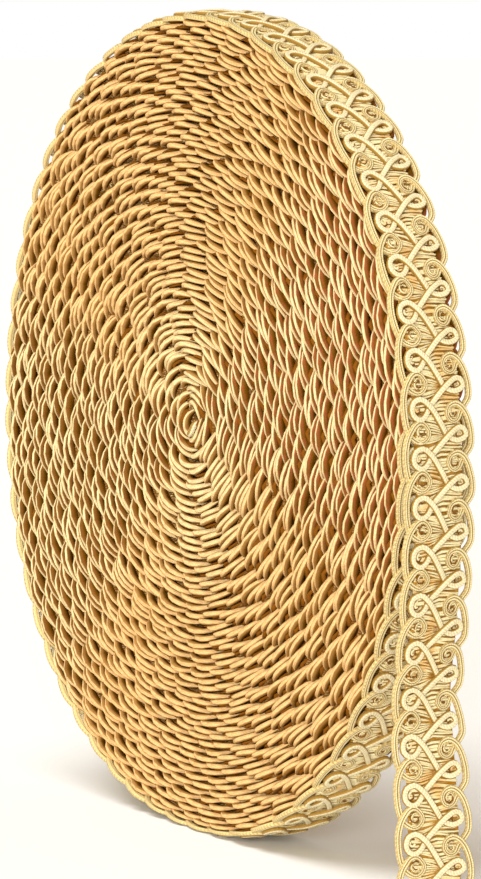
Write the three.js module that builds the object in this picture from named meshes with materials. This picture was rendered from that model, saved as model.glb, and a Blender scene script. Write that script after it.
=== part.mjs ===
// A flat roll of scroll gimp braid that stands on its rim, with the loose end hanging down beside it.
// Millimetres, +Z up. The origin is the middle of the small flat spot that the roll rests on.
// The roll's axis runs along Y, and the loose end leaves the roll at its +X side and hangs to the surface.
import * as THREE from "three";

// The braid
const braidWidth = 15;
const turnThickness = 1.38;
const scallopDepth = 1.2;
const frontScallopStart = 0.35; // share of a repeat, along the braid from where it leaves the roll
const backScallopStart = 0.95;
const scrollHeight = 0.35;
const scrollReach = 0.6; // share of the half width that the scroll swings to
const scrollThickness = 0.3; // share of the half width that the scroll's ridge is wide
const scrollStart = 0.1; // share of a repeat at which the scroll is at its furthest to the back

// The roll
const rollRadius = 80;
const repeatsOnOuterTurn = 57;
const flatDepth = 0.6;
const rimRounding = 0.3;
const windingUnevenness = [
  { degrees: 0, bulge: 0 },
  { degrees: 60, bulge: 0.1 },
  { degrees: 125, bulge: -0.1 },
  { degrees: 168, bulge: -0.7 },
  { degrees: 215, bulge: 0.9 },
  { degrees: 258, bulge: -0.2 },
  { degrees: 290, bulge: 0.7 },
  { degrees: 345, bulge: 0 },
];
const sideRings = [
  { radius: 77, halfWidth: 7.05, points: 57 },
  { radius: 62, halfWidth: 7.3, points: 57 },
  { radius: 46, halfWidth: 7.05, points: 38 },
  { radius: 30, halfWidth: 7.25, points: 38 },
  { radius: 14, halfWidth: 7.05, points: 19 },
  { radius: 2.65, halfWidth: 6.6, points: 19 },
];
const eyeLift = 1.5; // how far above the roll's centre its innermost turn lies
const eyeHeightShare = 1.08;

// The loose end
const looseEndThickness = 1.1;
const gapUnderLooseEnd = 0.6;
const pieceGap = 0.3;
const cutEndClearance = 0.4;
const hang = [
  { down: 0, out: 0, twist: 0 },
  { down: 10, out: 0.3, twist: 0 },
  { down: 28, out: -1.2, twist: -1 },
  { down: 43, out: -3.4, twist: -1 },
  { down: 52, out: -2.6, twist: 6 },
  { down: 64, out: -1.4, twist: 9 },
  { down: 80, out: -0.2, twist: 13 },
];

// How finely the braid's repeats are cut into rows and columns
const rowsPerRepeat = 6;
const columns = [-1, -0.7, -0.36, 0, 0.36, 0.7, 1];
const lastColumn = columns.length - 1;
const plainRepeats = 1.6; // the stretch of the roll under the start of the loose end, with no scroll
const liftedRepeats = 3; // the stretch before the loose end, over which the outer turn lifts off the roll

const fullTurn = 2 * Math.PI;
const { degToRad, lerp, smoothstep } = THREE.MathUtils;
const outerTurnLength = fullTurn * (rollRadius - turnThickness / 2);
const repeatLength = outerTurnLength / repeatsOnOuterTurn;
const endLift = gapUnderLooseEnd + looseEndThickness - turnThickness;

// Eases from row to row of a table: the column's value where the column named along reaches at.
function readTable(rows, along, column, at) {
  const next = rows.findIndex((row) => row[along] > at);
  if (next < 1) {
    return next === 0 ? rows[0][column] : rows[rows.length - 1][column];
  }
  const from = rows[next - 1];
  const to = rows[next];
  return lerp(from[column], to[column], smoothstep(at, from[along], to[along]));
}

// How far the roll's surface lies from its centre. The angle runs inwards along the outer turn, from the
// loose end at +X over the top, so the turn ends one thickness further in than it began.
function turnRadius(angle) {
  const liftEnd = (fullTurn * liftedRepeats) / repeatsOnOuterTurn;
  const lift = endLift * (1 - smoothstep(angle, 0, liftEnd));
  const bulge = readTable(windingUnevenness, "degrees", "bulge", (angle * 180) / Math.PI);
  return rollRadius - (turnThickness * angle) / fullTurn + bulge + lift;
}

function shareOfRepeat(repeats, start) {
  const share = repeats - start;
  return share - Math.floor(share);
}

// Half the braid's width at its scalloped edge: each edge cord is a bow from one notch to the next.
function halfWidth(repeats, side) {
  const share = shareOfRepeat(repeats, side < 0 ? frontScallopStart : backScallopStart);
  const fromMiddle = 2 * share - 1;
  return braidWidth / 2 - scallopDepth * fromMiddle * fromMiddle;
}

// The height of the raised scroll, a cord that swings from side to side once in each repeat.
function scrollRelief(repeats, across) {
  const swing = scrollReach * Math.cos(fullTurn * (repeats - scrollStart));
  const offset = (across - swing) / scrollThickness;
  return scrollHeight * Math.exp(-offset * offset);
}

// A closed surface is collected here, point by point and triangle by triangle.
class Surface {
  constructor() {
    this.points = [];
    this.triangles = [];
  }

  addPoint(x, y, z) {
    this.points.push(x, y, z);
    return this.points.length / 3 - 1;
  }

  addTriangle(a, b, c, flipped) {
    this.triangles.push(a, flipped ? c : b, flipped ? b : c);
  }

  // Faces between two rows of points, seen with the first row below the second.
  joinRows(lower, upper, flipped = false) {
    for (let i = 0; i + 1 < lower.length; i += 1) {
      this.addTriangle(lower[i], lower[i + 1], upper[i + 1], flipped);
      this.addTriangle(lower[i], upper[i + 1], upper[i], flipped);
    }
  }

  // Faces between two closed rings around the roll's axis. Each ring is a list of points with their angles.
  joinRings(outer, inner, flipped) {
    let i = 0;
    let j = 0;
    while (i + 1 < outer.length || j + 1 < inner.length) {
      const outerNext = i + 1 < outer.length ? outer[i + 1].angle : Infinity;
      const innerNext = j + 1 < inner.length ? inner[j + 1].angle : Infinity;
      if (outerNext < innerNext) {
        this.addTriangle(inner[j].point, outer[i].point, outer[i + 1].point, flipped);
        i += 1;
      } else {
        this.addTriangle(inner[j].point, outer[i].point, inner[j + 1].point, flipped);
        j += 1;
      }
    }
  }

  geometry() {
    const made = new THREE.BufferGeometry();
    made.setAttribute("position", new THREE.Float32BufferAttribute(this.points, 3));
    made.setIndex(this.triangles);
    made.computeVertexNormals();
    return made;
  }
}

const rollCentreHeight = turnRadius(0.75 * fullTurn) - flatDepth;

// A point of the roll from its place around, away from and along the axis. The flat spot cuts it off at zero.
function addRollPoint(surface, angle, radius, y, lift = 0, heightShare = 1) {
  const height = rollCentreHeight + lift + radius * heightShare * Math.sin(angle);
  return surface.addPoint(radius * Math.cos(angle), y, Math.max(height, 0));
}

// The outer turn's rows, from the loose end over the top and round to the step under the loose end.
function addRim(surface) {
  const rows = [];
  const rowCount = repeatsOnOuterTurn * rowsPerRepeat;
  for (let i = 0; i <= rowCount; i += 1) {
    const angle = (fullTurn * i) / rowCount;
    const repeats = -i / rowsPerRepeat;
    const plain = 1 - smoothstep(i, rowCount - plainRepeats * rowsPerRepeat, rowCount);
    const row = columns.map((across, column) => {
      const edge = column === 0 || column === lastColumn;
      const relief = edge ? -rimRounding : scrollRelief(repeats, across);
      const y = across * halfWidth(repeats, across);
      return addRollPoint(surface, angle, turnRadius(angle) + relief * plain, y);
    });
    rows.push(row);
  }
  return rows;
}

// One side of the roll: the scalloped edge of the outer turn, then flatter and flatter rings to the eye.
function addSide(surface, rim, side) {
  const column = side < 0 ? 0 : lastColumn;
  const flipped = side > 0;
  const rimEnd = rim.length - 1;
  const firstStep = fullTurn / sideRings[0].points;
  // The step's two corners lie on one ray, so the ring's first side is passed between them.
  let outer = [{ point: rim[rimEnd][column], angle: 0 }];
  rim.forEach((row, i) => {
    outer.push({ point: row[column], angle: i === 0 ? firstStep : (fullTurn * i) / rimEnd });
  });
  sideRings.forEach((ring) => {
    const inward = 1 - ring.radius / rollRadius;
    const heightShare = lerp(1, eyeHeightShare, inward);
    const inner = [];
    for (let k = 0; k < ring.points; k += 1) {
      const angle = (fullTurn * k) / ring.points;
      const y = side * ring.halfWidth;
      const point = addRollPoint(surface, angle, ring.radius, y, eyeLift * inward, heightShare);
      inner.push({ point, angle });
    }
    inner.push({ point: inner[0].point, angle: fullTurn });
    surface.joinRings(outer, inner, flipped);
    outer = inner;
  });
  return outer.map((corner) => corner.point);
}

function rollGeometry() {
  const surface = new Surface();
  const rim = addRim(surface);
  for (let i = 0; i + 1 < rim.length; i += 1) {
    surface.joinRows(rim[i], rim[i + 1]);
  }
  surface.joinRows(rim[rim.length - 1], rim[0]);
  const frontEye = addSide(surface, rim, -1);
  const backEye = addSide(surface, rim, 1);
  surface.joinRows(frontEye, backEye);
  return surface.geometry();
}

// The loose end's middle line, from where it leaves the roll down to its cut end.
function hangLine() {
  const startX = rollRadius - turnThickness + gapUnderLooseEnd + looseEndThickness / 2;
  const points = hang.map((row) => new THREE.Vector3(startX + row.out, 0, rollCentreHeight - row.down));
  return new THREE.CatmullRomCurve3(points);
}

// One row of the loose end: its points across the outer face, then across the inner face.
function addLooseRow(surface, middle, tangent, down) {
  const twist = degToRad(readTable(hang, "down", "twist", down));
  const across = new THREE.Vector3(Math.sin(twist), Math.cos(twist), 0);
  const outward = new THREE.Vector3().crossVectors(across, tangent).negate().normalize();
  const repeats = down / repeatLength;
  const place = (share, offset) => {
    const sideways = share * halfWidth(repeats, share);
    const point = middle.clone().addScaledVector(across, sideways).addScaledVector(outward, offset);
    return surface.addPoint(point.x, point.y, Math.max(point.z, cutEndClearance));
  };
  const half = looseEndThickness / 2;
  return {
    outer: columns.map((share) => place(share, half + scrollRelief(repeats, share))),
    inner: columns.map((share) => place(share, -half)),
  };
}

function looseEndGeometry() {
  const surface = new Surface();
  const line = hangLine();
  const length = rollCentreHeight - pieceGap - cutEndClearance;
  const rowCount = Math.round((length / repeatLength) * rowsPerRepeat);
  const rows = [];
  for (let i = 0; i <= rowCount; i += 1) {
    const down = pieceGap + (length * i) / rowCount;
    const share = down / hang[hang.length - 1].down;
    rows.push(addLooseRow(surface, line.getPointAt(share), line.getTangentAt(share), down));
  }
  for (let i = 0; i < rowCount; i += 1) {
    const above = rows[i];
    const below = rows[i + 1];
    surface.joinRows(below.outer, above.outer);
    surface.joinRows(below.inner, above.inner, true);
    for (const column of [0, lastColumn]) {
      const lower = [below.inner[column], below.outer[column]];
      const upper = [above.inner[column], above.outer[column]];
      surface.joinRows(lower, upper, column === lastColumn);
    }
  }
  surface.joinRows(rows[0].outer, rows[0].inner);
  surface.joinRows(rows[rowCount].inner, rows[rowCount].outer);
  return surface.geometry();
}

function braidMaterial(color) {
  return new THREE.MeshStandardMaterial({ color, roughness: 0.55, metalness: 0.0 });
}

function part(name, geometry, material) {
  const mesh = new THREE.Mesh(geometry, material);
  mesh.name = name;
  return mesh;
}

const braidTrim = new THREE.Group();
braidTrim.name = "braided_ribbon_trim";
braidTrim.add(part("roll", rollGeometry(), braidMaterial(0xc39a61)));
braidTrim.add(part("loose_end", looseEndGeometry(), braidMaterial(0xdcc68e)));

export default braidTrim;
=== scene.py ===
"""Braided ribbon trim: a gold scroll braid wound into a flat roll, with its loose end hanging down beside it.

The braid is charted once, repeat by repeat, on a flat strip: X runs across it, Y along it towards the loose
end, and Z out of its face. Node trees sweep and repeat its cords on that strip, and one shared tree lays the
strip on the roll's spiral or down the loose end.
"""
import math

import bpy
from mathutils import Color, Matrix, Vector


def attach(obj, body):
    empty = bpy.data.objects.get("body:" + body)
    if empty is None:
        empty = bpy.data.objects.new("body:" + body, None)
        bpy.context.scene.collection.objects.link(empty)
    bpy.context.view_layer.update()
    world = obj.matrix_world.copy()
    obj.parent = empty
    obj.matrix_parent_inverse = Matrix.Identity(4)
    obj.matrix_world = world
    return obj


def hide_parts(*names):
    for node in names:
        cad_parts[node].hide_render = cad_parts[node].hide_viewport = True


bl_info = {
    "name": "Braided ribbon trim",
    "version": (1, 0, 0),
    "blender": (4, 5, 0),
    "location": "3D View > Sidebar > Braid",
    "description": "Makes a roll of scroll braid with its loose end, and a stage for it",
    "category": "Add Mesh",
}

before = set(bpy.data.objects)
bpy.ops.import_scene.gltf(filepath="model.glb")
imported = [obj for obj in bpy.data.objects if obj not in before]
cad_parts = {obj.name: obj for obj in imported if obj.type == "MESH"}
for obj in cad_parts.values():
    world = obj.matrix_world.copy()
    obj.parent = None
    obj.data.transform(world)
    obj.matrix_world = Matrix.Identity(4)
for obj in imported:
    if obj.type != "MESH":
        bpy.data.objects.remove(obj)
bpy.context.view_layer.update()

MM = 0.001
FULL_TURN = 2 * math.pi

# The photograph's height and the camera's focal length in its pixels.
PHOTO_HEIGHT = 879
PHOTO_FOCAL = 4329
# How far the camera stands to the right of the roll's centre and above it, in mm.
CAMERA_SHIFT = (3.96, -2.57)
# The soft lamps: (degrees round from the disc's face, degrees up, degrees that their light spreads over).
LAMPS = {"side_light": (52, 8, 30), "face_light": (5, 70, 40)}
# The warm tint of the light from all around.
SKY_TINT = (1, 0.87, 0.68, 1)

# Repeats made in full, on the loose end and on the outer turn, where they run one past a whole turn.
LOOSE_REPEATS = 9
OUTER_REPEATS = 58
WEFTS_A_REPEAT = 18
# How many repeats before the loose end the outer turn starts to lift off the roll.
LIFTED_REPEATS = 3
# The bows of the inner turns: their spacing and how far each turn's lag behind, as shares of a repeat.
BOW_SPACING = 0.993
BOW_LAG = -0.15
# How many of each edge's bows lie near the eye, how many of those in its core, and the gap at the inner end.
EYE_BOWS = 70
CORE_BOWS = 12
EYE_GAP = 6 * MM
# The ground's depth under the braid's face, and the radius where the relief between the turns stops.
GROUND_DEPTH = 0.85 * MM
CORE_RADIUS = 0.7 * MM
# How far across the scroll cord's pinch on the wefts reaches.
PINCH_REACH = 2 * MM

# The roll's radius is uneven: (degrees from the loose end over the top, how far the turn bulges in mm).
UNEVENNESS = (
    (0, 0), (60, 0.1), (125, -0.1), (168, -0.7), (215, 0.9), (258, -0.2), (290, 0.7), (345, 0), (360, 0),
)
# The loose end's middle line: (mm down, mm outwards, degrees that it has twisted).
HANG = (
    (0, 0, 0), (10, 0.3, 0), (28, -1.2, -1), (43, -3.4, -1), (52, -2.6, 6), (64, -1.4, 9), (80, -0.2, 13),
)

# One repeat of each cord that runs on, in mm: (across, along, height over the braid's outer face).
RUNNING_CHARTS = {
    "scroll": (
        (-2.69, 0.13, -0.1), (-3.6, 0.93, -0.08), (-4.63, 0.93, 0), (-5.54, 0.13, 0), (-5.71, -1.0, 0),
        (-5.2, -2.14, 0.02), (-4.06, -2.6, 0.1), (-3.26, -2.37, 0.22), (-1.54, -0.66, 0.3), (0.29, 2.18, 0.1),
        (1.31, 3.77, -0.22), (2.23, 4.56, -0.15), (3.26, 4.9, 0), (3.94, 4.85, 0), (5.09, 4.34, 0),
        (5.31, 3.77, 0), (4.86, 2.86, 0), (3.94, 2.6, 0.05), (3.03, 2.97, 0.2), (1.31, 4.11, 0.38),
        (-0.4, 5.81, 0.12), (-1.77, 7.4, -0.22),
    ),
    "front_edge": (
        (-2.69, 2.4, -0.12), (-3.3, 1.75, -0.05), (-4.2, 1.5, -0.05), (-5.0, 1.9, -0.15), (-5.54, 2.63, -0.28),
        (-6.2, 3.7, -0.4), (-6.7, 5.2, -0.5), (-6.91, 7.06, -0.6), (-6.69, 9.79, -0.75), (-5.94, 12.18, -0.95),
        (-5.09, 13.31, -0.9), (-3.83, 13.9, -0.5), (-3.03, 13.54, -0.25), (-2.46, 12.86, -0.15),
        (-2.23, 11.95, -0.12),
    ),
    "back_edge": (
        (2.23, -1.22, -0.15), (3.49, -1.69, -0.1), (4.5, -1.25, -0.15), (5.09, -0.78, -0.25), (6.0, 0.59, -0.4),
        (6.69, 2.75, -0.52), (6.91, 4.45, -0.62), (6.8, 6.15, -0.75), (5.89, 7.52, -0.9), (4.74, 8.77, -0.75),
        (4.0, 9.9, -0.4), (3.03, 10.36, -0.25), (2.0, 9.79, -0.18), (1.66, 8.65, -0.15),
    ),
}
# Those cords: (section, points a repeat, how far along the repeat it curls, how much narrower it is there).
RUNNING_CORDS = {
    "scroll": ("scroll", 44, 0.0, 0.0),
    "front_edge": ("edge", 32, 0.935, 0.25),
    "back_edge": ("edge", 32, 0.886, 0.25),
}
# The part of the edge cord that shows on the inner turns: one bow, from its curl to where it dives.
BOW_CHART = (
    (-3.6, 2.1, -0.45), (-4.6, 2.3, -0.4), (-5.45, 3.2, -0.4), (-6.15, 4.7, -0.47), (-6.6, 6.6, -0.6),
    (-6.5, 8.5, -0.76), (-5.9, 10.2, -0.92), (-4.95, 11.6, -1.05), (-3.8, 12.4, -1.1),
)
# The same bow in the eye, where the tight turns draw it straight.
CORE_BOW_CHART = (
    (-4.8, 1.6, -0.5), (-5.45, 2.6, -0.45), (-5.95, 4.4, -0.5), (-6.15, 6.6, -0.6), (-6.05, 8.8, -0.75),
    (-5.55, 10.6, -0.9), (-4.8, 11.8, -1.05),
)
# The braid's inner end: a loop of its scroll cord that stands out in the eye.
TIP_CHART = ((-4.6, -2.6, -0.9), (-6.3, -2.4, -0.7), (-7.1, -1.4, -0.6), (-7.1, 0.9, -0.6), (-6.2, 1.8, -0.7))
# The scroll cord's outer loop, as it shows in the gaps between the inner turns.
LOOP_CHART = (
    (-3.7, -2.55, -0.1), (-5.3, -2.3, 0.05), (-6.15, -1.0, 0.1), (-5.6, 0.4, 0.05), (-4.2, 0.95, -0.1),
)
WEFT_CHART = (
    (-4.7, 0, -0.7), (-3.8, 0.05, -0.42), (-2.2, 0.1, -0.32), (-0.6, 0.03, -0.4), (0.6, -0.03, -0.4),
    (2.2, -0.1, -0.32), (3.8, -0.05, -0.42), (4.7, 0, -0.7),
)
# A binding stitch round each curl and a ring of painted shadow round each eye, and where each repeat has one:
# (across, along).
STITCH_CHART = (
    (0.1, -0.75, -0.2), (-0.5, -0.6, -0.1), (-0.8, 0, -0.08), (-0.5, 0.6, -0.1), (0.2, 0.75, -0.1),
    (0.7, 0.4, -0.2),
)
STITCH_AND_SHADOW_RINGS = {"front": (-3.75, 3.2), "back": (3.1, -0.05), "eye": (-4.55, -0.85), "back_eye": (4.3, 3.75)}
# The small curls of yarn in the edge cords' curls and the scroll cord's eyes: (finish, middle, chart).
KNOTS = {
    "front": ("edge", (-3.8, 3.4, -0.2), (
        (-3.0, 3.2, -0.3), (-3.5, 2.6, -0.22), (-4.3, 2.8, -0.2), (-4.5, 3.6, -0.2), (-3.9, 4.2, -0.22),
        (-3.3, 3.9, -0.25),
    )),
    "back": ("edge", (3.1, 0, -0.2), (
        (3.9, -0.4, -0.3), (3.2, -0.85, -0.22), (2.5, -0.4, -0.2), (2.5, 0.5, -0.2), (3.2, 0.8, -0.22),
        (3.6, 0.3, -0.3),
    )),
    "eye": ("weft", (-4.5, -0.9, -0.2), (
        (-3.95, -0.5, -0.3), (-4.5, -0.35, -0.2), (-4.85, -0.85, -0.18), (-4.5, -1.4, -0.25),
    )),
    "back_eye": ("weft", (4.3, 3.75, -0.2), (
        (3.7, 3.5, -0.35), (4.2, 3.25, -0.25), (4.8, 3.7, -0.22), (4.35, 4.3, -0.3),
    )),
}

# Cross sections, with the cord's right side at +X and its underside at +Y, from -1 to 1.
SECTIONS = {
    "edge": (
        (-1, -0.66), (-0.55, -1), (0, -0.62), (0.62, -0.95), (0.98, -0.5), (0.98, 0.5), (0.62, 0.95), (0, 0.62),
        (-0.55, 1), (-1, 0.66),
    ),
    "bow": ((-1, -0.35), (-0.8, -0.8), (-0.4, -1), (0.9, -0.9), (0.9, 0.9), (-0.4, 1), (-0.8, 0.8), (-1, 0.35)),
    "scroll": (
        (-1, 0.05), (-0.82, -0.66), (-0.42, -1), (0, -0.86), (0.42, -1), (0.82, -0.66), (1, 0.05), (0.7, 0.7),
        (0, 0.95), (-0.7, 0.7),
    ),
    "yarn": ((-1, 0), (-0.31, -0.95), (0.81, -0.59), (0.81, 0.59), (-0.31, 0.95)),
    "thread": ((-1, 0), (0, -1), (1, 0), (0, 1)),
    "relief": ((-1, -1), (1, -1), (1, 1), (-1, 1)),
    "ground": ((-1, -0.4), (-0.93, -1), (0, -1), (0.93, -1), (1, -0.4), (1, 0.4), (0.93, 1), (-0.93, 1)),
}


def number(name, description, default, **kind):
    """A number that a user may change."""
    return bpy.props.FloatProperty(name=name, description=description, default=default, **kind)


def length(name, description, default):
    """A size, with its default in mm."""
    return number(name, description, default * MM, unit="LENGTH", precision=5, min=0)


def angle(name, description, default):
    """An angle, with its default in degrees."""
    return number(name, description, math.radians(default), subtype="ANGLE")


def colour(name, description, default):
    """A colour that a user may change."""
    return bpy.props.FloatVectorProperty(
        name=name, description=description, default=default, subtype="COLOR", size=3, min=0, max=1
    )


class BraidSizes(bpy.types.PropertyGroup):
    roll_radius: length("Roll radius", "Radius of the wound roll", 80)
    turn_thickness: length("Turn thickness", "How far apart the turns lie", 1.38)
    eye_radius: length("Eye radius", "Radius of the innermost turn", 2.83)
    eye_lift: length("Eye lift", "How far above the roll's centre its eye lies", 1.5)
    centre_height: length("Centre height", "Height of the roll's centre over the ground", 78.45)
    end_lift: length("End lift", "How far the outer turn stands off where it leaves the roll", 0.32)
    loose_thickness: length("Loose end thickness", "Thickness of the loose end's solid", 1.1)
    loose_start: length("Loose end start", "Distance of the loose end's middle from the axis", 79.77)
    cut_end_clearance: length("Cut end clearance", "Gap under the loose end's cut end", 0.4)
    braid_width: length("Braid width", "Width of the braid over its edge cords", 15)
    edge_width: length("Edge cord width", "Width of the flat cord that edges the braid", 1.12)
    edge_thickness: length("Edge cord thickness", "Thickness of the edge cord", 1.02)
    bow_width: length("Wound bow width", "Width of the edge cord where the inner turns press on it", 1.6)
    scroll_width: length("Scroll cord width", "Width of the raised scroll cord", 1.2)
    scroll_thickness: length("Scroll cord thickness", "Thickness of the scroll cord", 1.15)
    weft_width: length("Weft width", "Width of one weft yarn", 0.47)
    knot_width: length("Knot width", "Width of the small curls of yarn", 0.55)
    ground_width: length("Ground width", "Width of the woven ground between the edge cords", 9.8)
    wound_ground_width: length("Wound ground width", "Width of the ground on the inner turns", 11.6)
    ground_thickness: length("Ground thickness", "Thickness of the woven ground", 0.5)
    relief_width: length("Relief width", "Width of the scroll relief pressed between the turns", 8)
    repeats: bpy.props.IntProperty(
        name="Repeats", description="Repeats of the pattern on the outer turn", default=57, min=3
    )


class BraidColours(bpy.types.PropertyGroup):
    crest: colour("Edge crest", "The edge cord's ridges", (0.94, 0.81, 0.44))
    flank: colour("Edge flank", "The edge cord's flat sides", (0.85, 0.66, 0.29))
    # Painted shade in the edge cord: in its groove, between its windings and along its shoulders.
    groove: colour("Edge groove", "The groove along the edge cord", (0.20, 0.10, 0.012))
    wound_flank: colour("Wound cord", "The inner turns' edge cord, where it lies level", (0.90, 0.585, 0.25))
    # Painted sheen: the wound cord's paler colour where it runs upright round the roll.
    painted_sheen: colour("Wound gloss", "The inner turns' edge cord, where it stands", (0.92, 0.785, 0.42))
    # Painted light and shade on the wound cord's faces between the turns: lighter where the cord lies level,
    # darker where it stands, russet in warm patches.
    level_face: colour("Wound level face", "The edge cord's faces where it lies level", (0.38, 0.20, 0.06))
    shade: colour("Wound face", "The edge cord's faces between the turns", (0.20, 0.083, 0.018))
    russet: colour("Wound russet", "The warmest patches of those faces", (0.29, 0.08, 0.025))
    # Painted shade, darkest deep between the turns.
    deep: colour("Wound depth", "The edge cord deep between the turns", (0.16, 0.065, 0.004))
    scroll: colour("Scroll", "The raised scroll cord", (0.87, 0.80, 0.52))
    scroll_shade: colour("Scroll shade", "Between the scroll cord's windings", (0.36, 0.20, 0.035))
    loop: colour("Wound scroll", "The scroll cord in the gaps between the inner turns", (0.90, 0.74, 0.38))
    weft: colour("Weft", "The weft yarns", (0.98, 0.90, 0.54))
    # Painted warm shade, in patches scattered at random over the wefts.
    amber: colour("Amber", "Warmer patches of the wefts", (0.80, 0.42, 0.07))
    # The ground's own colour, also used as the painted shade between the windings and down the sides of the
    # wefts and stitches.
    ground: colour("Ground", "The ground behind the wefts", (0.44, 0.20, 0.015))
    # Painted shade: a darker copy of the ground's colour, for the ground between the inner turns.
    wound_ground: colour("Wound ground", "The ground between the inner turns", (0.22, 0.078, 0.008))
    # The binding stitches' colour, used as well for the rings of painted shadow round the scroll cord's eyes.
    stitch: colour("Stitch", "The small binding stitches", (0.16, 0.06, 0.008))
    floor: colour("Floor", "The floor and backdrop", (0.97, 0.97, 0.97))


class StageSettings(bpy.types.PropertyGroup):
    camera_distance: length("Camera distance", "From the roll's centre to the camera", 840)
    camera_azimuth: angle("Camera azimuth", "Round from the disc's face towards the loose end", 60.5)
    camera_elevation: angle("Camera elevation", "Above the horizon", 5.46)
    side_light: number("Side light", "Strength of the soft light on the loose end's side", 3.2, min=0)
    face_light: number("Face light", "Strength of the soft light before the disc's face", 2.0, min=0)
    sky: number("Sky", "Light from all around", 0.44, min=0)


def label(name):
    """What a node tree calls an input, from its name in this script."""
    return name.replace("_", " ").capitalize()


def mm(*values):
    return tuple(value * MM for value in values)


class Number:
    """A number in a node tree. Sums and products of it are made as nodes of that tree."""

    kind = "ShaderNodeMath"

    def __init__(self, maker, socket):
        self.maker = maker
        self.socket = socket

    def fed(self, node, *others):
        """What a node makes of this number and others, on its first inputs."""
        for socket, value in zip(node.inputs, (self, *others)):
            self.maker.plug(socket, value)
        return self.maker.read(node.outputs[0])

    def calc(self, operation, *others):
        return self.fed(self.maker.node(self.kind, operation=operation), *others)

    def __add__(self, other):
        return self.calc("ADD", other)

    def __sub__(self, other):
        return self.calc("SUBTRACT", other)

    def __mul__(self, other):
        return self.calc("MULTIPLY", other)

    def __truediv__(self, other):
        return self.calc("DIVIDE", other)

    def ease(self, start, end, low=0.0, high=1.0):
        """Low up to start, high from end on, and a smooth step between them."""
        node = self.maker.node("ShaderNodeMapRange", interpolation_type="SMOOTHSTEP")
        return self.fed(node, start, end, low, high)

    def follow(self, table):
        """Eases from row to row of a table of (place, value), whose first value is 0."""
        total = None
        for (start, low), (end, high) in zip(table, table[1:]):
            if low != high:
                step = self.ease(start, end, 0.0, high - low)
                total = step if total is None else total + step
        return total


class Place(Number):
    """A place, direction or colour in a node tree."""

    kind = "ShaderNodeVectorMath"

    def __mul__(self, other):
        """Multiplies its parts by three numbers, or scales it by one."""
        if isinstance(other, tuple):
            return self.calc("MULTIPLY", other)
        return self.maker.get(self.kind, "Vector", {"Vector": self, "Scale": other}, operation="SCALE")


class Maker:
    """Fills one node tree."""

    def __init__(self, tree):
        self.tree = tree

    def plug(self, socket, value):
        """Links a value to a socket, or sets it there."""
        if isinstance(value, Number):
            self.tree.links.new(value.socket, socket)
        else:
            socket.default_value = (*value, 1.0) if isinstance(value, Color) else value

    def node(self, kind, values=None, **settings):
        """A node, with its settings and then its inputs by name."""
        made = self.tree.nodes.new(kind)
        for name, setting in settings.items():
            setattr(made, name, setting)
        for name, value in (values or {}).items():
            self.plug(self.socket(made.inputs, name), value)
        return made

    def socket(self, sockets, name):
        found = [s for s in sockets if s.enabled and name in (s.name, s.identifier)]
        if not found:
            raise RuntimeError(f"no socket {name} among {[s.name for s in sockets]}")
        return found[0]

    def read(self, socket):
        return (Place if socket.type in ("VECTOR", "RGBA") else Number)(self, socket)

    def out(self, node, name):
        return self.read(self.socket(node.outputs, name))

    def get(self, kind, name, values=None, **settings):
        """One output of a new node."""
        return self.out(self.node(kind, values, **settings), name)

    def combine(self, x, y, z):
        return self.get("ShaderNodeCombineXYZ", "Vector", {"X": x, "Y": y, "Z": z})

    def separate(self, vector):
        node = self.node("ShaderNodeSeparateXYZ", {"Vector": vector})
        return [self.read(output) for output in node.outputs]

    def mixed(self, factor, a, b):
        """A colour between two others."""
        return self.get("ShaderNodeMix", "Result", {"Factor": factor, "A": a, "B": b}, data_type="RGBA")

    def noise(self, place, scale, detail=1.0):
        """Smooth noise from -1 to 1."""
        raw = self.get("ShaderNodeTexNoise", "Fac", {"Vector": place, "Scale": scale, "Detail": detail})
        return (raw - 0.5) * 2.0

    def group(self, tree, **values):
        """Places another tree in this one."""
        kind = "ShaderNodeGroup" if tree.bl_idname == "ShaderNodeTree" else "GeometryNodeGroup"
        return self.node(kind, {label(name): value for name, value in values.items()}, node_tree=tree)


class GroupMaker(Maker):
    """Fills a new tree that has named inputs and outputs."""

    def __init__(self, name, kind="GeometryNodeTree"):
        super().__init__(bpy.data.node_groups.new(name, kind))
        self.inputs = self.tree.nodes.new("NodeGroupInput")
        self.outputs = self.tree.nodes.new("NodeGroupOutput")

    def take(self, kind, names="", **defaults):
        """Inputs of the tree, by their names and some with a default. A single one comes alone."""
        taken = []
        for name in (*names.split(), *defaults):
            made = self.tree.interface.new_socket(label(name), in_out="INPUT", socket_type="NodeSocket" + kind)
            if name in defaults:
                made.default_value = defaults[name]
            taken.append(self.read(self.inputs.outputs[label(name)]))
        return taken if len(taken) > 1 else taken[0]

    def give(self, name, value, kind="Geometry"):
        """A named output of the tree."""
        self.tree.interface.new_socket(name=name, in_out="OUTPUT", socket_type="NodeSocket" + kind)
        self.plug(self.outputs.inputs[name], value)

    def position(self):
        return self.get("GeometryNodeInputPosition", "Position")

    def changed(self, kind, geometry, values=None, **settings):
        """The geometry after a node that changes it."""
        values = {"Geometry": geometry, **(values or {})}
        return self.get("GeometryNode" + kind, "Geometry", values, **settings)

    def drawn(self, guide_object):
        """The curve of a guide."""
        return self.get("GeometryNodeObjectInfo", "Geometry", {"Object": guide_object})


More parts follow.
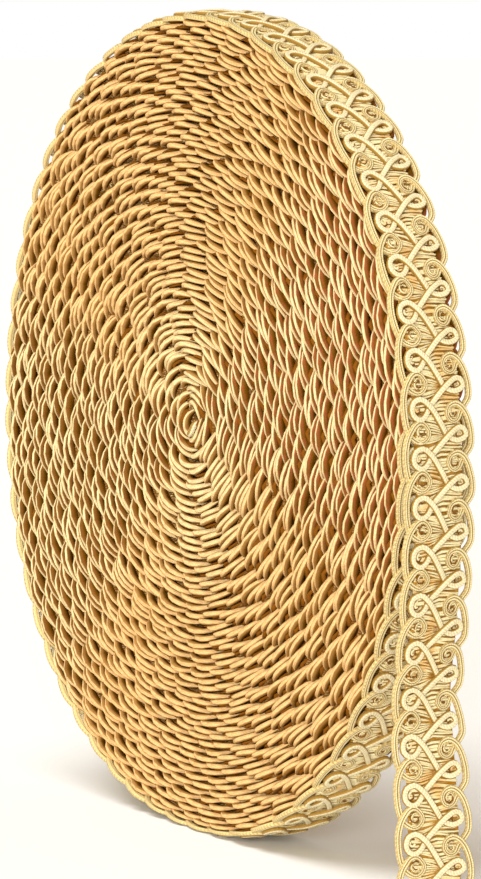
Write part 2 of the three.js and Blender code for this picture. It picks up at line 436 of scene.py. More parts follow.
class PieceMaker(GroupMaker):
    """Fills the tree of a piece, whose cord has its section, width, thickness and material as inputs."""

    def __init__(self, name, lie):
        super().__init__(name)
        self.lie = lie
        self.take("Geometry", "geometry")
        self.hang_line, self.section = self.take("Object", "hang_line section")
        self.width, self.thickness = self.take("Float", "width thickness")
        self.material = self.take("Material", "material")

    def index(self):
        return self.get("GeometryNodeInputIndex", "Index")

    def row(self, count, place):
        """Points one after another, at these places."""
        line = self.get("GeometryNodeMeshLine", "Mesh", {"Count": count})
        return self.changed("SetPosition", line, {"Position": place})

    def path(self, count, place):
        """A curve through such points."""
        return self.get("GeometryNodeMeshToCurve", "Curve", {"Mesh": self.row(count, place)})

    def random(self, low, high, seed):
        kind = "FLOAT_VECTOR" if isinstance(high, Place) else "FLOAT"
        values = {"Min": low, "Max": high, "Seed": seed}
        return self.get("FunctionNodeRandomValue", "Value", values, data_type=kind)

    def captured(self, geometry, kind, values):
        """Keeps values on a geometry, for after it has changed."""
        node = self.node("GeometryNodeCaptureAttribute", {"Geometry": geometry})
        for name, value in values.items():
            node.capture_items.new(kind, name)
            self.plug(self.socket(node.inputs, name), value)
        return node

    def stored(self, geometry, name, value, domain="POINT"):
        """Keeps a value as an attribute, which the material reads."""
        kind = "FLOAT_VECTOR" if isinstance(value, Place) else "FLOAT"
        values = {"Name": name, "Value": value}
        return self.changed("StoreNamedAttribute", geometry, values, data_type=kind, domain=domain)

    def swept(self, path, tone, scale=1.0):
        """A cord along a path, with its length, its place in the section and its tone kept for the material."""
        path = self.get("GeometryNodeSetCurveNormal", "Curve", {"Curve": path}, mode="Z_UP")
        run_length = self.get("GeometryNodeSplineParameter", "Length")
        run = self.captured(path, "FLOAT", {"Run": run_length, "Tone": tone, "Scale": scale})
        spot = self.captured(self.drawn(self.section), "VECTOR", {"Spot": self.position()})
        half = self.combine(self.width * 0.5, self.thickness * 0.5, 1.0)
        sized = self.changed("Transform", self.out(spot, "Geometry"), {"Scale": half})
        tube = self.get("GeometryNodeCurveToMesh", "Mesh", {
            "Curve": self.out(run, "Geometry"), "Profile Curve": sized, "Scale": self.out(run, "Scale"),
            "Fill Caps": True,
        })
        # The sections run the other way round, so the faces are turned to point outwards.
        tube = self.get("GeometryNodeFlipFaces", "Mesh", {"Mesh": tube})
        side, face, _ = self.separate(self.out(spot, "Spot"))
        tube = self.stored(tube, "cord", self.combine(self.out(run, "Run"), side, face))
        return self.stored(tube, "tone", self.out(run, "Tone"))

    def finish(self, geometry):
        """Lays the strip, smooths it and gives it its material."""
        real = self.changed("RealizeInstances", geometry)
        laid = self.read(self.group(self.lie, geometry=real, hang_line=self.hang_line).outputs[0])
        smooth = self.changed("SetShadeSmooth", laid, {"Shade Smooth": True})
        self.give("Geometry", self.changed("SetMaterial", smooth, {"Material": self.material}))
        return self.tree


def add_object(name, data):
    made = bpy.data.objects.new(name, data)
    bpy.context.scene.collection.objects.link(made)
    return made


def guide(name, points, closed=False, scale=MM):
    """A curve that a tree follows or sweeps. It is taken away once the pieces are made."""
    data = bpy.data.curves.new(name, "CURVE")
    data.dimensions = "3D"
    spline = data.splines.new("POLY")
    spline.points.add(len(points) - 1)
    for point, place in zip(spline.points, points):
        x, y, z = (*place, 0)[:3]
        point.co = (x * scale, y * scale, z * scale, 1)
    spline.use_cyclic_u = closed
    return add_object(name, data)


def between(before, start, end, after, share):
    """A point of the Catmull-Rom line from start to end."""
    square, cube = share * share, share * share * share
    place = []
    for a, b, c, d in zip(before, start, end, after):
        bend = 2 * a - 5 * b + 4 * c - d
        turn = 3 * b - a - 3 * c + d
        place.append(0.5 * (2 * b + (c - a) * share + bend * square + turn * cube))
    return tuple(place)


def inner_line(points, steps):
    """A smooth line from the second point to the last but one, in short straight steps."""
    line = []
    for four in zip(points, points[1:], points[2:], points[3:]):
        line += [between(*four, step / steps) for step in range(steps)]
    return [*line, tuple(points[-2])]


def smooth_line(points, steps):
    """A smooth line through all the points."""
    return inner_line([points[0], *points, points[-1]], steps)


def closed_chart(chart, repeat):
    """A chart's repeat as a smooth line that ends where the next repeat starts."""
    later = [(x, y + repeat / MM, z) for x, y, z in chart[:2]]
    x, y, z = chart[-1]
    return inner_line([(x, y - repeat / MM, z), *chart, *later], 5)


def mirrored(chart):
    return [(-x, y, z) for x, y, z in chart]


def wound_length(sizes):
    """The braid's length in the roll, from the loose end to the eye."""
    return math.pi * (sizes.roll_radius**2 - sizes.eye_radius**2) / sizes.turn_thickness


def lie_tree(sizes):
    """The tree that lays a charted strip on the roll and down the loose end."""
    maker = GroupMaker("Lie of the braid")
    geometry = maker.take("Geometry", "geometry")
    hang_line = maker.take("Object", "hang_line")
    radius, pitch, centre, eye_lift, eye_stretch, end_lift, wander = maker.take(
        "Float", roll_radius=sizes.roll_radius, turn_thickness=sizes.turn_thickness,
        centre_height=sizes.centre_height, eye_lift=sizes.eye_lift, eye_stretch=0.08, end_lift=sizes.end_lift,
        wander=0.35 * MM,
    )
    across, along, height = maker.separate(maker.position())

    inside = (along * -1.0).calc("MAXIMUM", 0.0)
    squared = radius * radius - pitch * inside / math.pi
    turn_radius = squared.calc("MAXIMUM", (0.5 * MM) ** 2).calc("SQRT")
    turns = (radius - turn_radius) / pitch
    share = turn_radius / radius
    bulge = (turns.calc("FRACT") * 360.0).follow(UNEVENNESS) * MM * share * share
    lift = turns.ease(0.0, LIFTED_REPEATS / sizes.repeats, 1.0, 0.0) * end_lift
    out = turn_radius + height + bulge + lift
    inward = (share * -1.0) + 1.0
    angle = turns * FULL_TURN
    x = out * angle.calc("COSINE")
    z = out * angle.calc("SINE") * (inward * eye_stretch + 1.0) + centre + eye_lift * inward
    # The lowest turns are pressed towards the flat spot.
    z = z.calc("MAXIMUM", z * 0.75 + 0.75 * MM).calc("MAXIMUM", 0.0)
    drift = maker.noise(maker.combine(along, 0.0, 0.0), 9.0, 2.0) * wander
    wound = maker.combine(x, across + drift * inside.ease(0.3, 0.8), z)

    sample = maker.node(
        "GeometryNodeSampleCurve", {"Curves": maker.drawn(hang_line), "Length": along.calc("MAXIMUM", 0.0)},
        mode="LENGTH",
    )
    twist = (along / MM).follow([(down, degrees) for down, _, degrees in HANG]) * math.radians(1)
    sideways = maker.combine(twist.calc("SINE"), twist.calc("COSINE"), 0.0)
    outward = maker.out(sample, "Tangent").calc("CROSS_PRODUCT", sideways).calc("NORMALIZE")
    hung = maker.out(sample, "Position") + sideways * across + outward * (height + sizes.loose_thickness / 2)
    hung_x, hung_y, hung_z = maker.separate(hung)
    hung = maker.combine(hung_x, hung_y, hung_z.calc("MAXIMUM", sizes.cut_end_clearance))

    lies = maker.get(
        "GeometryNodeSwitch", "Output",
        {"Switch": along.calc("GREATER_THAN", 0.0), "False": wound, "True": hung}, input_type="VECTOR",
    )
    maker.give("Geometry", maker.changed("SetPosition", geometry, {"Position": lies}))
    return maker.tree


def running_cord_tree(lie):
    """A cord that runs on from repeat to repeat of its chart."""
    maker = PieceMaker("Running cord", lie)
    chart = maker.take("Object", "chart")
    first, repeats, points = maker.take("Int", "first_repeat repeats points_a_repeat")
    repeat, curl_place, narrowing, unevenness = maker.take(
        "Float", "repeat_length curl_place narrowing", unevenness=0.1 * MM,
    )

    index = maker.index()
    whole = (index / points + 0.0001).calc("FLOOR")
    rest = (index - whole * points) / points
    curve = maker.drawn(chart)
    sample = maker.node("GeometryNodeSampleCurve", {"Curves": curve, "Factor": rest}, mode="FACTOR")
    charted = maker.out(sample, "Position") + maker.combine(0.0, (whole + first) * repeat, 0.0)
    shake = maker.get("ShaderNodeTexNoise", "Color", {"Vector": charted, "Scale": 160.0, "Detail": 1.0})
    shake = (shake - (0.5, 0.5, 0.5)) * (2.0, 2.0, 0.6)
    path = maker.path(repeats * points + 1.0, charted + shake * unevenness)
    curled = ((index / points - curl_place) * FULL_TURN).calc("COSINE").ease(0.45, 0.85) * narrowing
    tone = maker.noise(maker.position(), 90.0) * 0.5 + 0.5 + curled * 3.0
    return maker.finish(maker.swept(path, tone, curled * -1.0 + 1.0))


def repeated_cord_tree(lie):
    """Short cords set one after another along the braid, each a little different."""
    maker = PieceMaker("Repeated cord", lie)
    chart = maker.take("Object", "chart")
    count, seed = maker.take("Int", "count seed")
    pivot, shift, turn, pinch_place = maker.take("Vector", "pivot shift turn pinch_place")
    start, pitch, drift, lag, nesting, nesting_turn, taper, fan, stretch, pinch = maker.take(
        "Float", "start pitch drift lag nesting nesting_turn taper fan stretch pinch",
    )
    radius, turn_pitch, fan_length = maker.take("Float", roll_radius=1.0, turn_thickness=1.0, fan_length=1.0)

    centred = maker.changed("Transform", maker.drawn(chart), {"Translation": pivot * -1.0})
    off_middle = maker.get("GeometryNodeSplineParameter", "Factor") * 2.0 - 1.0
    tube = maker.swept(centred, 0.0, off_middle * off_middle * taper * -1.0 + 1.0)

    along = maker.index() * pitch + start
    slow = maker.noise(maker.combine(along, seed, 0.0), 5.0, 2.0) * drift
    squared = radius * radius - turn_pitch * along.calc("ABSOLUTE") / math.pi
    turns = (radius - squared.calc("MAXIMUM", 0.0).calc("SQRT")) / turn_pitch
    slow = slow + turns * lag + ((turns - nesting_turn) * math.pi).calc("COSINE") * nesting
    spread = maker.random(shift * -1.0, shift, seed)
    points = maker.row(count, pivot + maker.combine(0.0, along + slow, 0.0) + spread)
    fanned = (along / fan_length * FULL_TURN).calc("SINE") * fan
    rotation = maker.random(turn * -1.0, turn, seed + 1.0) + maker.combine(0.0, 0.0, fanned)
    stretched = maker.random(-1.0, 1.0, seed + 2.0) * stretch + 1.0
    set_out = maker.get("GeometryNodeInstanceOnPoints", "Instances", {
        "Points": points, "Instance": tube, "Rotation": rotation, "Scale": maker.combine(1.0, stretched, 1.0),
    })
    set_out = maker.stored(set_out, "tone", maker.random(0.0, 1.0, seed + 3.0), "INSTANCE")
    real = maker.changed("RealizeInstances", set_out)
    away_across, away_along, _ = maker.separate(maker.position() - pinch_place)
    near = (away_across * away_across / PINCH_REACH**2 + 1.0).calc("POWER", -2.0)
    phase = away_along / fan_length * FULL_TURN
    pull = maker.combine(0.0, phase.calc("SINE") * -1.0, phase.calc("COSINE") * -0.3 - 0.3)
    return maker.finish(maker.changed("SetPosition", real, {"Offset": pull * (near * pinch)}))


def wound_ground_tree(lie):
    """The woven ground, wound turn by turn. Its rows lie at equal angles, so that the eye is round as well."""
    maker = PieceMaker("Wound ground", lie)
    rows = maker.take("Int", "rows_a_turn")
    first, turns, radius, pitch, depth = maker.take(
        "Float", "first_turn turns roll_radius turn_thickness depth",
    )
    inner = radius - (maker.index() / rows + first) * pitch
    inside = (radius * radius - inner * inner) * math.pi / pitch
    path = maker.path(turns * rows, maker.combine(0.0, inside * -1.0, depth * -1.0))
    return maker.finish(maker.swept(path, 0.5))


def grow(name, tree, values):
    """Evaluates a tree with these inputs and keeps what it makes as a plain mesh."""
    seed = add_object(name + "_seed", bpy.data.meshes.new(name + "_seed"))
    modifier = seed.modifiers.new(name, "NODES")
    modifier.node_group = tree
    sockets = [item for item in tree.interface.items_tree if item.item_type == "SOCKET"]
    inputs = {item.name: item.identifier for item in sockets if item.in_out == "INPUT"}
    for key, value in values.items():
        modifier[inputs[label(key)]] = value
    graph = bpy.context.evaluated_depsgraph_get()
    mesh = bpy.data.meshes.new_from_object(
        seed.evaluated_get(graph), preserve_all_data_layers=True, depsgraph=graph
    )
    bpy.data.objects.remove(seed)
    if not mesh.polygons:
        raise RuntimeError(f"{name} came out empty")
    mesh.name = name
    return add_object(name, mesh)


def settle(piece, node):
    """Says which node a piece stands for and what it rides on."""
    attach(piece, "root")
    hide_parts(node)
    return piece


class Braid:
    """What the operators share: the trees, the guides and the materials."""

    def __init__(self, sizes, colours):
        self.sizes = sizes
        self.repeat = FULL_TURN * (sizes.roll_radius - sizes.turn_thickness / 2) / sizes.repeats
        hang = [(sizes.loose_start / MM + out, 0, sizes.centre_height / MM - down) for down, out, _ in HANG]
        self.hang_line = guide("hang_line", smooth_line(hang, 10))
        lie = lie_tree(sizes)
        self.running = running_cord_tree(lie)
        self.repeated = repeated_cord_tree(lie)
        self.ground = wound_ground_tree(lie)
        self.sections = {name: guide(name + "_section", points, True, 1) for name, points in SECTIONS.items()}
        self.charts = {}
        self.draw_charts()
        yarn = yarn_group()
        self.materials = {
            "edge": edge_material(colours, yarn),
            "wound_edge": wound_edge_material(colours, sizes, yarn),
            "scroll": plain_cord_material("scroll cord", colours.scroll, colours.scroll_shade, yarn, 0.55, 0.3),
            "loop": wound_scroll_material(colours, yarn),
            "weft": plain_cord_material(
                "weft yarn", colours.weft, colours.ground, yarn, 0.3, 0.2, 0.6, colours.amber,
            ),
            # The binding stitch material also paints the rings of shadow round the eyes.
            "stitch": plain_cord_material("binding stitch", colours.stitch, colours.ground, yarn, 0.3, 0.2),
            "ground": ground_material("woven ground", colours.ground, colours.flank, colours.stitch),
            # The inner turns' ground is painted darker than the outer one, as shade between the turns.
            "wound_ground": ground_material("wound ground", colours.wound_ground, colours.flank, colours.deep),
        }

    def draw(self, name, points):
        self.charts[name] = guide(name + "_chart", points)

    def draw_charts(self):
        """Draws every chart as a guide."""
        for name, chart in RUNNING_CHARTS.items():
            self.draw(name, closed_chart(chart, self.repeat))
        for name, chart in (
            ("bow", BOW_CHART), ("eye_bow", smooth_line(BOW_CHART, 3)),
            ("core_bow", smooth_line(CORE_BOW_CHART, 4)),
        ):
            self.draw("front_" + name, chart)
            self.draw("back_" + name, mirrored(reversed(chart)))
        self.draw("front_loop", LOOP_CHART)
        self.draw("back_loop", mirrored(LOOP_CHART))
        self.draw("tip", smooth_line(TIP_CHART, 4))
        self.draw("weft", WEFT_CHART)
        for name, (_, _, chart) in KNOTS.items():
            self.draw(name + "_knot", smooth_line(chart, 2))
        for name, (across, along) in STITCH_AND_SHADOW_RINGS.items():
            self.draw(name + "_stitch", [(x + across, y + along, z) for x, y, z in STITCH_CHART])

    def make(self, name, tree, section, material, node, **values):
        """One piece, grown by a tree with a section and a finish, in place of a CAD node."""
        piece = grow(name, tree, dict(
            values, hang_line=self.hang_line, section=self.sections[section], material=self.materials[material],
        ))
        return settle(piece, node)

    def repeat_cord(self, name, chart, section, material, node="roll", **values):
        """A row of short cords."""
        return self.make(name, self.repeated, section, material, node, chart=self.charts[chart], **values)

    def clear_guides(self):
        """Takes the guides away."""
        for found in [self.hang_line, *self.sections.values(), *self.charts.values()]:
            bpy.data.objects.remove(found)


def yarn_group():
    """Fine windings round a yarn, with painted shade between them, and its slow changes of tone."""
    maker = GroupMaker("Yarn windings", "ShaderNodeTree")
    along, side, face, tone = maker.take("Float", "along side face tone")
    pitch, depth = maker.take("Float", winding_pitch=0.3 * MM, depth=0.5)
    light, dark = maker.take("Color", light=(1, 1, 1, 1), dark=(0, 0, 0, 1))
    blotch = maker.noise(maker.combine(along * 1000.0, side, face), 0.7, 2.0)
    slant = face.calc("ABSOLUTE") * 0.5 + side * 0.35 + blotch * 0.4
    wind = ((along / pitch + slant) * FULL_TURN).calc("SINE") * 0.5 + 0.5
    fibre = maker.noise(maker.combine(along * 9000.0, side * 2.0, face * 2.0), 1.0)
    grain = maker.noise(maker.combine(along * 2600.0, side * 2.0, face * 1.6), 1.0)
    # The dark between the windings is painted shade; tone, blotches and grain vary it at random.
    shade = (wind * -1.0 + 1.0) * depth + tone * 0.15 + blotch * 0.15 + grain * depth * 0.7
    shade = shade.calc("MAXIMUM", 0.0).calc("MINIMUM", 1.0)
    maker.give("Colour", maker.mixed(shade, light, dark), "Color")
    maker.give("Height", wind * 0.7 + fibre * 0.3, "Float")
    return maker.tree


class Shader(Maker):
    """Fills one material, which reads the cord attribute of its piece."""

    def __init__(self, name, roughness, gloss=0.15):
        self.material = bpy.data.materials.new(name)
        self.material.use_nodes = True
        super().__init__(self.material.node_tree)
        self.shader = self.tree.nodes["Principled BSDF"]
        self.shader.inputs["Roughness"].default_value = roughness
        self.shader.inputs["Specular IOR Level"].default_value = gloss
        cord = self.get("ShaderNodeAttribute", "Vector", attribute_name="cord")
        self.along, self.side, self.face = self.separate(cord)
        self.tone = self.get("ShaderNodeAttribute", "Fac", attribute_name="tone")
        self.run = self.along * 1000.0

    def yarn(self, tree, pitch, depth, light, dark):
        """The colour and the height of a yarn's windings, which lie so many mm apart."""
        wound = self.group(
            tree, along=self.along, side=self.side, face=self.face, tone=self.tone, winding_pitch=pitch * MM,
            depth=depth, light=light, dark=dark,
        )
        return [self.read(output) for output in wound.outputs]

    def finish(self, base, height, depth):
        """The material, with its colour and with a relief so many mm deep."""
        self.plug(self.shader.inputs["Base Color"], base)
        bump = self.get("ShaderNodeBump", "Normal", {"Height": height, "Distance": depth * MM, "Strength": 1.0})
        self.plug(self.shader.inputs["Normal"], bump)
        return self.material


def edge_material(colours, yarn):
    """The flat edge cord: ridges on its two faces with a groove between them, and flat knitted flanks."""
    shader = Shader("edge cord", 0.42)
    # The dark between the windings is painted shade.
    on_face, height_on_face = shader.yarn(yarn, 0.42, 0.25, colours.crest, colours.groove)
    on_side, _ = shader.yarn(yarn, 0.8, 0.4, colours.flank, colours.groove)
    width = shader.side.calc("ABSOLUTE")
    # Painted shade in the groove between the ridges.
    in_groove = width.ease(0.08, 0.3, 1.0, 0.0) * shader.face.calc("ABSOLUTE").ease(0.35, 0.6)
    base = shader.mixed(width.ease(0.66, 0.95), on_face, on_side)
    # Painted shade along the shoulders, between the faces and the flanks.
    shoulder_shade = width.ease(0.6, 0.8) * width.ease(0.84, 0.98, 1.0, 0.0)
    base = shader.mixed((in_groove * 0.9).calc("MAXIMUM", shoulder_shade * 0.6), base, colours.groove)
    # Painted shade: the underside is blended towards the darker flank colour.
    base = shader.mixed(shader.face.ease(0.1, 0.7) * 0.7, base, colours.flank)
    return shader.finish(base, height_on_face, 0.06)


def wound_edge_material(colours, sizes, yarn):
    """The edge cord on the inner turns: painted sheen, palest where it stands, and painted brown shade between
    the turns.
    """
    shader = Shader("wound edge cord", 0.5, 0.0)
    x, _, z = shader.separate(shader.get("ShaderNodeTexCoord", "Object"))
    rise = z - sizes.centre_height
    standing = x * (x + rise * 0.6) / (x * x + rise * rise + MM * MM)
    reach = (x * x + rise * rise).calc("SQRT") / sizes.roll_radius
    outer_side = x / sizes.roll_radius
    # Painted sheen: the wound cord turns paler where it runs upright round the roll, and it also turns paler
    # towards the eye.
    pale = standing.ease(0.5, 1.1).calc("MAXIMUM", reach.ease(0.1, 0.5, 0.75, 0.0))
    light = shader.mixed(pale, colours.wound_flank, colours.painted_sheen)
    streak = shader.noise(shader.combine(shader.along * 600.0, shader.tone * 9.0, shader.face * 1.7), 1.0)
    light = shader.mixed(streak.ease(-0.15, 0.25) * 0.42, light, colours.level_face)
    # The faces between the turns are painted shade: lighter where the cord lies level round the roll, darker
    # where it stands.
    face = shader.mixed(standing.ease(0.45, 0.95), colours.level_face, colours.shade)
    # Painted shade: the faces darken towards the roll's right side.
    face = shader.mixed(outer_side.ease(-0.3, 0.8) * 0.4, face, colours.deep)
    # Warm russet patches in that painted shade, more of them where the cord stands and towards the roll's right
    # side.
    patchy = shader.noise(shader.combine(shader.run, shader.side * 3.0, shader.tone * 9.0), 0.5)
    russet = (patchy + outer_side * 0.4).ease(0.0, 0.4) * standing.ease(0.5, 1.0)
    face = shader.mixed(russet, face, colours.russet)
    wound, height = shader.yarn(yarn, 0.6, 0.12, light, colours.shade)
    inward = shader.side + standing.ease(0.5, 1.0) * 0.05
    # Past the flank, the cord takes the painted shade of its faces.
    base = shader.mixed(inward.ease(-0.97, -0.72), wound, face)
    # Painted shade: the cord darkens deeper in between the turns.
    base = shader.mixed(shader.side.ease(-0.6, 0.35), base, colours.deep)
    return shader.finish(base, height * 0.4 - streak, 0.07)


def wound_scroll_material(colours, yarn):
    """The scroll cord between the inner turns: mostly painted in the dark shade of the ground between the
    turns, with a pale loop here and there.
    """
    shader = Shader("wound scroll", 0.5, 0.0)
    wound, _ = shader.yarn(yarn, 0.36, 0.3, colours.loop, colours.shade)
    # Painted shade: loops picked at random keep the cord's pale colour, the rest take the dark ground colour.
    pale = shader.tone.ease(0.6, 0.75)
    return shader.finish(shader.mixed(pale, colours.wound_ground, wound), pale, 0.02)


def plain_cord_material(name, light, dark, yarn, pitch, depth, edge=1.0, patches=None):
    """A round cord or yarn, with painted shade down its sides and along its middle, and patches of painted warm
    shade if a colour for them is given.
    """
    shader = Shader(name, 0.45)
    wound, height = shader.yarn(yarn, pitch, depth, light, dark)
    width = shader.side.calc("ABSOLUTE")
    uneven = shader.noise(shader.combine(shader.run, 0.0, 0.0), 0.8) * 0.5 + 0.5
    # Painted shade along the cord's middle and down its sides.
    groove = width.ease(0.0, 0.2, 1.0, 0.0) * uneven * 0.4
    base = shader.mixed(width.ease(0.62, 0.9) * edge + groove, wound, dark)
    if patches is not None:
        # Patches of painted warm shade, scattered at random.
        patchy = shader.noise(shader.get("ShaderNodeTexCoord", "Object"), 190.0)
        base = shader.mixed(patchy.ease(0.0, 0.35) * 0.6, base, patches)
    return shader.finish(base, height, 0.07)


def ground_material(name, plain, fleck, dark):
    """The woven ground: the ends of the wefts in rows, with flecks."""
    shader = Shader(name, 0.6, 0.0)
    wave = shader.noise(shader.combine(shader.run, shader.side * 3.0, 0.0), 0.6)
    rows = ((shader.along / (0.62 * MM) + wave) * FULL_TURN).calc("SINE") * 0.5 + 0.5
    place = shader.combine(shader.run, shader.side * 5.0, shader.face * 0.4)
    patch = shader.noise(place, 0.8, 2.0)
    under = shader.face.ease(0.5, 0.9) * 0.3
    spots = (shader.noise(place, 2.3) + under).ease(0.42, 0.6)
    lit = shader.mixed((rows * 0.2 + patch * 0.35).calc("MAXIMUM", 0.0), plain, fleck)
    lit = shader.mixed(shader.noise(place, 0.45).ease(-0.1, 0.35) * 0.6, lit, dark)
    return shader.finish(shader.mixed(spots, lit, fleck), rows + patch * 0.5, 0.12)


SHARED = {}


def shared(context):
    """The braid that this run's operators build from. The first one makes it."""
    if "braid" not in SHARED:
        SHARED["braid"] = Braid(context.scene.braid_sizes, context.scene.braid_colours)
    return SHARED["braid"]


def detailed_braid(braid, prefix, node, first, repeats):
    """The braid in full: scroll cord, edge cords, wefts, curls of yarn, binding stitches and rings of painted
    shadow round the eyes.
    """
    sizes = braid.sizes
    repeat = braid.repeat
    made = []
    for name, (section, points, curl_place, narrowing) in RUNNING_CORDS.items():
        made.append(braid.make(
            f"{prefix}_{name}_cord", braid.running, section, section, node, chart=braid.charts[name],
            first_repeat=first, repeats=repeats, points_a_repeat=points, repeat_length=repeat,
            width=getattr(sizes, section + "_width"), thickness=getattr(sizes, section + "_thickness"),
            curl_place=curl_place, narrowing=narrowing,
        ))
    made.append(braid.repeat_cord(
        prefix + "_wefts", "weft", "thread", "weft", node, count=repeats * WEFTS_A_REPEAT, start=first * repeat,
        pitch=repeat / WEFTS_A_REPEAT, width=sizes.weft_width, thickness=sizes.weft_width,
        shift=mm(0.25, 0.2, 0.12), turn=(0.0, 0.0, 0.08), fan=0.1, fan_length=repeat, pinch=0.8 * MM,
        pinch_place=mm(0.8, 4.2, 0.0), seed=5,
    ))
    once = dict(count=repeats, start=first * repeat, pitch=repeat)
    for name, (material, middle, _) in KNOTS.items():
        made.append(braid.repeat_cord(
            f"{prefix}_{name}_knots", name + "_knot", "yarn", material, node, **once, pivot=mm(*middle),
            width=sizes.knot_width, thickness=sizes.knot_width, shift=mm(0.2, 0.2, 0.08), turn=(0.1, 0.15, 0.7),
            stretch=0.15, seed=7,
        ))
    # Binding stitches round the curls; the rings round the eyes are painted shadow.
    for name, middle in STITCH_AND_SHADOW_RINGS.items():
        made.append(braid.repeat_cord(
            f"{prefix}_{name}_stitches", name + "_stitch", "thread", "stitch", node, **once,
            pivot=mm(*middle, 0.0), width=0.34 * MM, thickness=0.5 * MM, shift=mm(0.15, 0.15, 0.05),
            turn=(0.0, 0.0, 0.9), stretch=0.2, seed=8,
        ))
    return made


class BRAID_OT_wound_ground(bpy.types.Operator):
    """Winds the woven ground from the loose end to the eye, and the relief pressed between the turns"""

    bl_idname = "braid.wound_ground"
    bl_label = "Wound ground"

    def execute(self, context):
        braid = shared(context)
        sizes = braid.sizes
        pitch = sizes.turn_thickness
        turns = (sizes.roll_radius - sizes.eye_radius) / pitch
        all_turns = (sizes.roll_radius - CORE_RADIUS) / pitch
        woven = (sizes.ground_thickness, GROUND_DEPTH)
        # The relief is a little thicker than the space between the turns, so that no light comes through.
        pressed = (pitch * 1.08, GROUND_DEPTH + pitch / 2)
        for name, section, material, first, count, width, (thickness, depth) in (
            ("outer_ground", "ground", "ground", 0.0, 1.02, sizes.ground_width, woven),
            ("inner_ground", "ground", "wound_ground", 1.0, turns - 1, sizes.wound_ground_width, woven),
            ("pressed_relief", "relief", "wound_ground", 0.02, all_turns, sizes.relief_width, pressed),
        ):
            braid.make(
                name, braid.ground, section, material, "roll", first_turn=first, turns=count, rows_a_turn=60,
                roll_radius=sizes.roll_radius, turn_thickness=pitch, width=width, thickness=thickness,
                depth=depth,
            )
        return {"FINISHED"}


class BRAID_OT_wound_edges(bpy.types.Operator):
    """Sets the edge cords' bows along the inner turns, front and back"""

    bl_idname = "braid.wound_edges"
    bl_label = "Wound edges"

    def execute(self, context):
        braid = shared(context)
        sizes = braid.sizes
        repeat = braid.repeat * BOW_SPACING
        lag = repeat * BOW_LAG
        turns = (sizes.roll_radius - sizes.eye_radius) / sizes.turn_thickness
        total = int((wound_length(sizes) - EYE_GAP + lag * turns) / repeat)
        begin = OUTER_REPEATS - 1
        middle = begin + (total - begin) * 4 // 10
        near_eye = total - EYE_BOWS
        core = total - CORE_BOWS
        wound = dict(
            pitch=-repeat, drift=8 * MM, lag=lag, nesting=repeat * 0.25, nesting_turn=0.25,
            roll_radius=sizes.roll_radius, turn_thickness=sizes.turn_thickness,
        )
        for side, across, phase, seed in (("front", -6.3, 0.0, 11), ("back", 6.3, 0.6, 31)):
            for name, chart, first, last in (
                ("outer", "bow", begin, middle), ("inner", "bow", middle, near_eye),
                ("eye", "eye_bow", near_eye, core), ("core", "core_bow", core, total),
            ):
                braid.repeat_cord(
                    f"{side}_edge_{name}_turns", f"{side}_{chart}", "bow", "wound_edge", **wound,
                    count=last - first, start=-(first + 2 - phase) * repeat, pivot=mm(across, 7.5, -0.65),
                    width=sizes.bow_width, thickness=sizes.edge_thickness * 1.1, taper=0.45,
                    shift=mm(0.28, 1.3, 0.12), turn=(0.03, 0.26, 0.08), stretch=0.12, seed=seed,
                )
            braid.repeat_cord(
                f"{side}_scroll_loops", f"{side}_loop", "thread", "loop", **wound, count=total - begin,
                start=-(begin + 2 - phase) * repeat, width=sizes.scroll_width,
                thickness=sizes.scroll_thickness / 2, shift=mm(0.25, 0.5, 0.08), seed=seed,
            )
        braid.repeat_cord(
            "inner_end", "tip", "scroll", "scroll", count=1, start=-wound_length(sizes) + 1.4 * MM, pitch=0.0,
            width=sizes.scroll_width, thickness=sizes.scroll_thickness, seed=3,
        )
        return {"FINISHED"}


class BRAID_OT_outer_turn(bpy.types.Operator):
    """Makes the outer turn's cords, wefts, stitches and rings of painted shadow"""

    bl_idname = "braid.outer_turn"
    bl_label = "Outer turn"

    def execute(self, context):
        detailed_braid(shared(context), "outer", "roll", -OUTER_REPEATS, OUTER_REPEATS)
        return {"FINISHED"}


class BRAID_OT_loose_end(bpy.types.Operator):
    """Makes the loose end: its woven ground as a thin sheet, with its cords, wefts, stitches and rings of
    painted shadow
    """

    bl_idname = "braid.loose_end"
    bl_label = "Loose end"

    def execute(self, context):
        braid = shared(context)
        sizes = braid.sizes
        cords = detailed_braid(braid, "loose", "loose_end", 0, LOOSE_REPEATS)
        hanging = sizes.centre_height - sizes.cut_end_clearance
        braid.draw("loose_ground", [(0, hanging / MM * step / 40, -GROUND_DEPTH / MM) for step in range(41)])
        ground = braid.repeat_cord(
            "loose_ground", "loose_ground", "ground", "ground", "loose_end", count=1, start=0.0, pitch=0.0,
            width=sizes.ground_width, thickness=sizes.ground_thickness, seed=3,
        )
        return {"FINISHED"}


class BRAID_OT_stage(bpy.types.Operator):
    """Sets up the pale floor, the soft lamps and the camera"""

    bl_idname = "braid.stage"
    bl_label = "Stage"

    def execute(self, context):
        settings = context.scene.braid_stage
        make_floor(context.scene.braid_colours)
        make_camera(context, settings, Vector((0, 0, context.scene.braid_sizes.centre_height)))
        for name, (azimuth, elevation, spread) in LAMPS.items():
            lamp = bpy.data.lights.new(name, "SUN")
            lamp.angle = math.radians(spread)
            lamp.energy = getattr(settings, name)
            away = direction(math.radians(azimuth), math.radians(elevation))
            add_aimed(name, lamp, away, away)
        make_world(context, settings)
        context.scene.view_settings.view_transform = "Standard"
        return {"FINISHED"}


def direction(azimuth, elevation):
    """From the roll, so far round from the disc's face towards the loose end, and so far up."""
    level = math.cos(elevation)
    return Vector((math.sin(azimuth) * level, -math.cos(azimuth) * level, math.sin(elevation)))


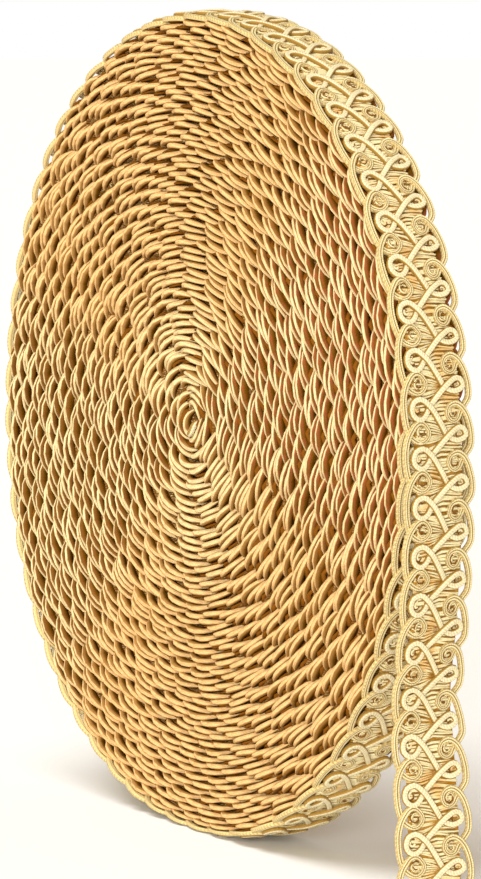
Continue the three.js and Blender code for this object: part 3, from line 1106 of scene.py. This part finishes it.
def add_aimed(name, data, place, away):
    """A camera or lamp at a place, with its back to the direction away."""
    made = add_object(name, data)
    made.location = place
    made.rotation_euler = (-away).to_track_quat("-Z", "Y").to_euler()
    return made


def make_world(context, settings):
    """Soft warm light from all around. The backdrop itself is seen as plain white."""
    world = bpy.data.worlds.new("studio")
    context.scene.world = world
    world.use_nodes = True
    maker = Maker(world.node_tree)
    seen = maker.get("ShaderNodeLightPath", "Is Camera Ray")
    background = world.node_tree.nodes["Background"]
    maker.plug(background.inputs["Color"], maker.mixed(seen, SKY_TINT, (1, 1, 1, 1)))
    maker.plug(background.inputs["Strength"], seen * (1 - settings.sky) + settings.sky)


def make_floor(colours):
    """A wide round floor."""
    sides = 64
    angles = [FULL_TURN * side / sides for side in range(sides)]
    mesh = bpy.data.meshes.new("floor")
    mesh.from_pydata([(20 * math.cos(a), 20 * math.sin(a), 0) for a in angles], [], [tuple(range(sides))])
    material = bpy.data.materials.new("pale floor")
    material.use_nodes = True
    shader = material.node_tree.nodes["Principled BSDF"]
    shader.inputs["Base Color"].default_value = (*colours.floor, 1.0)
    shader.inputs["Roughness"].default_value = 0.9
    mesh.materials.append(material)
    add_object("floor", mesh)


def make_camera(context, settings, centre):
    """The camera at the photograph's angle, with the photograph's frame."""
    azimuth = settings.camera_azimuth
    back = direction(azimuth, settings.camera_elevation)
    right = Vector((math.cos(azimuth), math.sin(azimuth), 0))
    across, rise = mm(*CAMERA_SHIFT)
    data = bpy.data.cameras.new("camera")
    data.sensor_width = 36
    data.lens = PHOTO_FOCAL / PHOTO_HEIGHT * data.sensor_width
    place = centre + right * across + back.cross(right) * rise + back * settings.camera_distance
    context.scene.camera = add_aimed("camera", data, place, back)


OPERATORS = (
    BRAID_OT_wound_ground, BRAID_OT_wound_edges, BRAID_OT_outer_turn, BRAID_OT_loose_end, BRAID_OT_stage,
)


class BRAID_PT_panel(bpy.types.Panel):
    bl_label = "Braided trim"
    bl_space_type = "VIEW_3D"
    bl_region_type = "UI"
    bl_category = "Braid"

    def draw(self, context):
        for kind in OPERATORS:
            self.layout.operator(kind.bl_idname)
        for group in (context.scene.braid_sizes, context.scene.braid_colours, context.scene.braid_stage):
            box = self.layout.box()
            for name in group.__annotations__:
                box.prop(group, name)


CLASSES = (BraidSizes, BraidColours, StageSettings, *OPERATORS, BRAID_PT_panel)


def register():
    for kind in CLASSES:
        bpy.utils.register_class(kind)
    bpy.types.Scene.braid_sizes = bpy.props.PointerProperty(type=BraidSizes)
    bpy.types.Scene.braid_colours = bpy.props.PointerProperty(type=BraidColours)
    bpy.types.Scene.braid_stage = bpy.props.PointerProperty(type=StageSettings)


def unregister():
    for name in ("braid_sizes", "braid_colours", "braid_stage"):
        delattr(bpy.types.Scene, name)
    for kind in reversed(CLASSES):
        bpy.utils.unregister_class(kind)


def main():
    register()
    bpy.ops.braid.wound_ground()
    bpy.ops.braid.wound_edges()
    bpy.ops.braid.outer_turn()
    bpy.ops.braid.loose_end()
    bpy.ops.braid.stage()
    shared(bpy.context).clear_guides()


if __name__ == "__main__":
    main()
